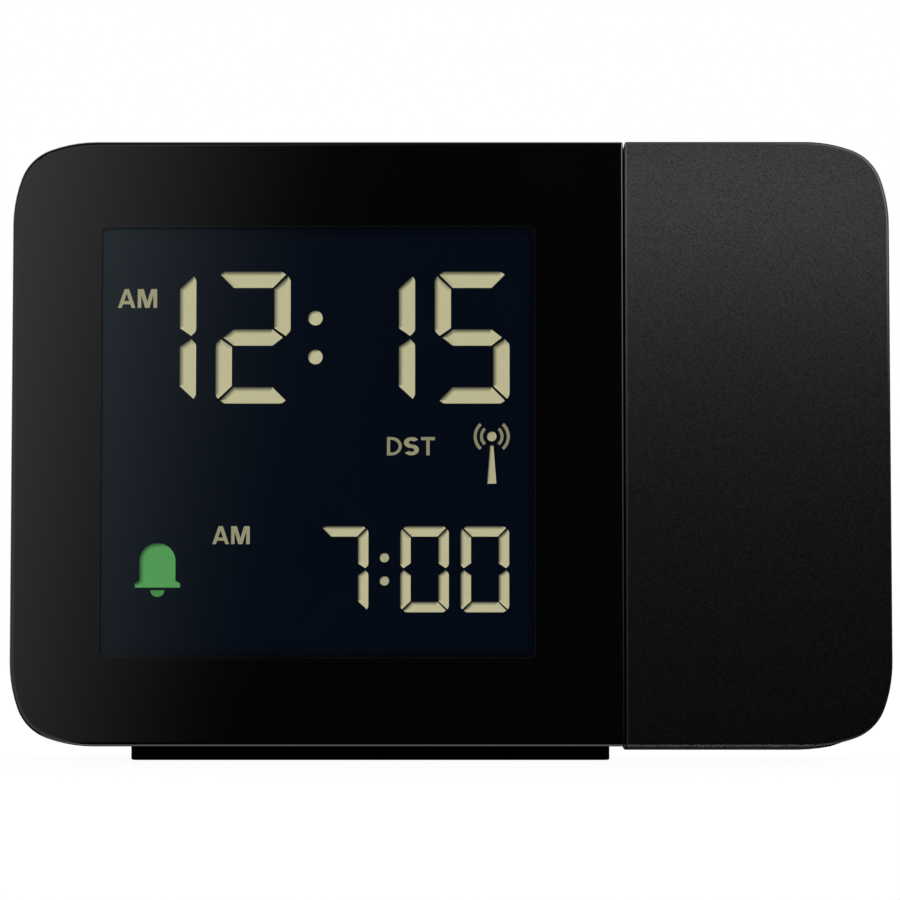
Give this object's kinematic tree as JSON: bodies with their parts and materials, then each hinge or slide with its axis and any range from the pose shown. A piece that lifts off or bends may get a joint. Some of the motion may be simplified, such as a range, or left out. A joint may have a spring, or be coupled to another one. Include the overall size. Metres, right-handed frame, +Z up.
{
  "type": "projection alarm clock",
  "caption": "Table alarm clock with a rounded slab body, a flush display window and a projector arm that turns on a side pivot; keys, battery bay and power inlet at the back.",
  "frame": {"origin": "on the table, under the middle of the whole clock's bounding box", "axes": "+X to the right seen from the front, along the width; +Y from the display to the back; +Z up"},
  "size_m": [0.135, 0.042, 0.0952],
  "materials": {
    "panel_gloss": "high gloss black",
    "window_clear": "clear, smooth",
    "shell_matte": "fine-grain black",
    "arm_matte": "fine-grain black",
    "foot_rubber": "matt black",
    "lcd_dark": "dark navy display glass",
    "segment_cream": "lit cream",
    "segment_green": "lit green",
    "clear_acrylic": "clear acrylic",
    "white_plastic": "white",
    "grey_rubber": "grey",
    "circuit_board": "green board",
    "component_black": "moulded black",
    "steel": "zinc-plated steel",
    "ferrite": "dark grey ferrite",
    "copper_wire": "enamelled copper winding",
    "key_plastic": "soft satin black",
    "cell_wrap": "plain grey sleeve",
    "nickel": "nickel plate",
    "bush_white": "acetal",
    "lens_glass": "clear",
    "lead_sleeve": "black sleeve"
  },
  "bodies": {
    "clock_body": {"front_panel": "panel_gloss", "display_window": "window_clear", "lcd_glass": "lcd_dark", "lcd_segments": "segment_cream", "lcd_bell": "segment_green", "light_guide": "clear_acrylic", "backlight_leds": "white_plastic", "lcd_tray": "white_plastic", "contact_strip": "grey_rubber", "main_board": "circuit_board", "board_screws": "steel", "board_components": "component_black", "receiver_board": "circuit_board", "receiver_header": "component_black", "antenna_rod": "ferrite", "antenna_coil": "copper_wire", "main_shell": "shell_matte", "foot": "foot_rubber", "snooze_switch": "component_black", "rear_cover": "shell_matte", "rear_screws": "steel", "key_board": "circuit_board", "key_board_screws": "steel", "key_switches": "component_black", "slide_switch": "steel", "battery_bay": "component_black", "battery_cells": "cell_wrap", "battery_contacts": "nickel", "power_inlet": "component_black", "sounder": "component_black", "pivot_bush": "bush_white", "friction_washer": "steel", "lead_body_side": "lead_sleeve"},
    "projector_arm": {"arm_shell": "arm_matte", "arm_side_plate": "arm_matte", "arm_screws": "steel", "pivot_hub": "component_black", "hub_screws": "steel", "pivot_clip": "steel", "projector_tube": "component_black", "condenser_lens": "lens_glass", "projector_lcd": "lcd_dark", "projector_board": "circuit_board", "projector_led": "lens_glass", "projector_plug": "white_plastic", "projector_screws": "steel", "lead_arm_side": "lead_sleeve"},
    "focus_ring": {"focus_ring": "key_plastic"},
    "lens_barrel": {"lens_barrel": "component_black", "projection_lens": "lens_glass"},
    "snooze_bar": {"snooze_bar": "key_plastic"},
    "alarm_switch": {"alarm_switch": "key_plastic"},
    "battery_door": {"battery_door": "shell_matte"},
    "time_key": {"time_key": "key_plastic"},
    "alarm_key": {"alarm_key": "key_plastic"},
    "minus_key": {"minus_key": "key_plastic"},
    "plus_key": {"plus_key": "key_plastic"},
    "flip_key": {"flip_key": "key_plastic"}
  },
  "joints": [
    {"name": "arm_turn", "type": "hinge", "parent": "clock_body", "child": "projector_arm", "pos_m": [0.0268, -0.009, 0.0487], "axis": [1, 0, 0], "range_deg": [-90, 90]},
    {"name": "focus_turn", "type": "hinge", "parent": "projector_arm", "child": "focus_ring", "pos_m": [0.04715, -0.009, 0.09], "axis": [0, 0, 1], "range_deg": [-60, 60]},
    {"name": "lens_slide", "type": "slide", "parent": "projector_arm", "child": "lens_barrel", "axis": [0, 0, 1], "range_m": [-0.0015, 0.0015]},
    {"name": "snooze_press", "type": "slide", "parent": "clock_body", "child": "snooze_bar", "axis": [0, 0, -1], "range_m": [0, 0.0008], "stiffness_N_per_m": 600, "springref_m": -0.001},
    {"name": "alarm_slide", "type": "slide", "parent": "clock_body", "child": "alarm_switch", "axis": [1, 0, 0], "range_m": [0, 0.003]},
    {"name": "door_turn", "type": "hinge", "parent": "clock_body", "child": "battery_door", "pos_m": [-0.02945, 0.02005, 0.01], "axis": [-1, 0, 0], "range_deg": [0, 90]},
    {"name": "time_press", "type": "slide", "parent": "clock_body", "child": "time_key", "axis": [0, -1, 0], "range_m": [0, 0.0008], "stiffness_N_per_m": 600, "springref_m": -0.0005},
    {"name": "alarm_press", "type": "slide", "parent": "clock_body", "child": "alarm_key", "axis": [0, -1, 0], "range_m": [0, 0.0008], "stiffness_N_per_m": 600, "springref_m": -0.0005},
    {"name": "minus_press", "type": "slide", "parent": "clock_body", "child": "minus_key", "axis": [0, -1, 0], "range_m": [0, 0.0008], "stiffness_N_per_m": 600, "springref_m": -0.0005},
    {"name": "plus_press", "type": "slide", "parent": "clock_body", "child": "plus_key", "axis": [0, -1, 0], "range_m": [0, 0.0008], "stiffness_N_per_m": 600, "springref_m": -0.0005},
    {"name": "flip_press", "type": "slide", "parent": "clock_body", "child": "flip_key", "axis": [0, -1, 0], "range_m": [0, 0.0008], "stiffness_N_per_m": 600, "springref_m": -0.0005}
  ],
  "couplings": [
    {"joint": "focus_turn", "follows": "lens_slide", "rad_per_m": 698}
  ]
}
